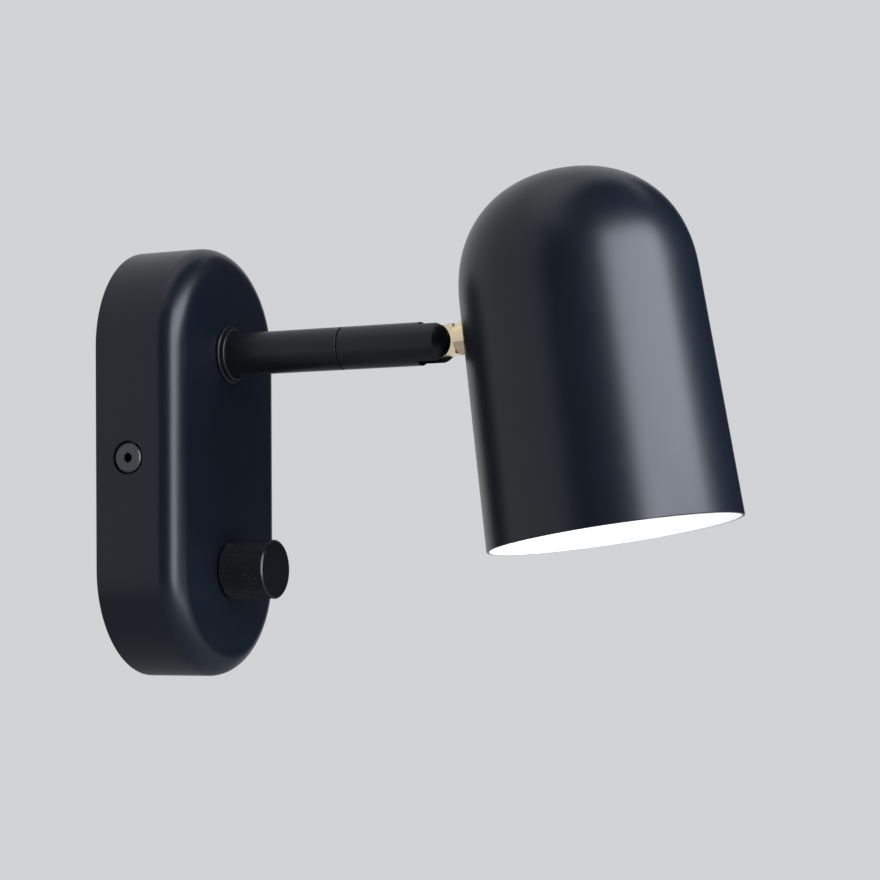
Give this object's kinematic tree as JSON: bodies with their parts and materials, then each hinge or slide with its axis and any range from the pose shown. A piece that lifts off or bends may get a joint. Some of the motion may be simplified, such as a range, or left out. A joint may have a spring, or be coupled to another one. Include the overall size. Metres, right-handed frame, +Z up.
{
  "type": "bedside wall reading lamp",
  "caption": "Wall reading lamp: pill-shaped housing with a knurled dimmer knob, swivelling arm, brass tilt hinge and a domed shade.",
  "frame": {"origin": "centre of the housing's back, on the wall, midway between the two wall-screw slots", "axes": "+Z up, +Y into the wall, +X to the right of someone facing the wall; the lamp stands out along -Y"},
  "size_m": [0.09, 0.2299, 0.1778],
  "materials": {
    "housing_paint": "satin blue-black powder coat",
    "shade_paint": "satin black outside, matt white inside",
    "arm_paint": "satin black powder coat",
    "knob_black": "black, coarse diamond knurl with bright-edged plain ends",
    "satin_brass": "brushed, clear lacquered",
    "bush_brass": "machined",
    "zinc_steel": "zinc plated",
    "black_screw": "black oxide",
    "white_moulding": "moulded",
    "dark_moulding": "moulded",
    "slip_washer": "moulded nylon",
    "grommet_rubber": "soft",
    "glazed_ceramic": "glazed",
    "lamp_white": "smooth white",
    "lamp_pin": "nickel plated",
    "lamp_lens": "frosted",
    "lead_sleeve": "fibre-covered"
  },
  "bodies": {
    "base": {"wall_housing": "housing_paint", "housing_screws": "black_screw", "wall_bracket": "zinc_steel", "cable_grommet": "grommet_rubber", "earth_screw": "bush_brass", "terminal_block": "white_moulding", "terminal_screws": "zinc_steel", "terminal_fixing_screws": "zinc_steel", "dimmer_module": "dark_moulding", "dimmer_washer": "zinc_steel", "dimmer_nut": "zinc_steel", "arm_nipple": "zinc_steel", "arm_lock_washer": "zinc_steel", "arm_lock_nut": "zinc_steel", "arm_collar": "arm_paint", "arm_inner_tube": "arm_paint", "swivel_bush": "bush_brass", "supply_lead": "lead_sleeve", "dimmer_lead": "lead_sleeve"},
    "arm": {"swivel_washer": "slip_washer", "swivel_spindle": "zinc_steel", "swivel_stop_pin": "zinc_steel", "swivel_spring_washer": "zinc_steel", "swivel_retaining_ring": "zinc_steel", "arm_fork": "arm_paint", "hinge_washers": "slip_washer", "hinge_screw": "black_screw"},
    "head": {"hinge_tongue": "satin_brass", "saddle_washer": "satin_brass", "shade": "shade_paint", "shade_lock_washer": "zinc_steel", "shade_lock_nut": "zinc_steel", "holder_carrier": "zinc_steel", "lamp_holder": "glazed_ceramic", "holder_screws": "zinc_steel", "lamp_body": "lamp_white", "lamp_pins": "lamp_pin", "lamp_lens": "lamp_lens", "head_lead": "lead_sleeve"},
    "knob": {"dimmer_knob": "knob_black", "dimmer_shaft": "zinc_steel", "knob_grub_screw": "black_screw"}
  },
  "joints": [
    {"name": "arm_swivel", "type": "hinge", "parent": "base", "child": "arm", "pos_m": [0, -0.0815, 0.0402], "axis": [0, -1, 0], "range_deg": [-160, 160]},
    {"name": "head_tilt", "type": "hinge", "parent": "arm", "child": "head", "pos_m": [0, -0.1182, 0.0402], "axis": [1, 0, 0], "range_deg": [-85, 85]},
    {"name": "knob_turn", "type": "hinge", "parent": "base", "child": "knob", "pos_m": [0, -0.0336, -0.0402], "axis": [0, -1, 0], "range_deg": [-150, 150]}
  ]
}
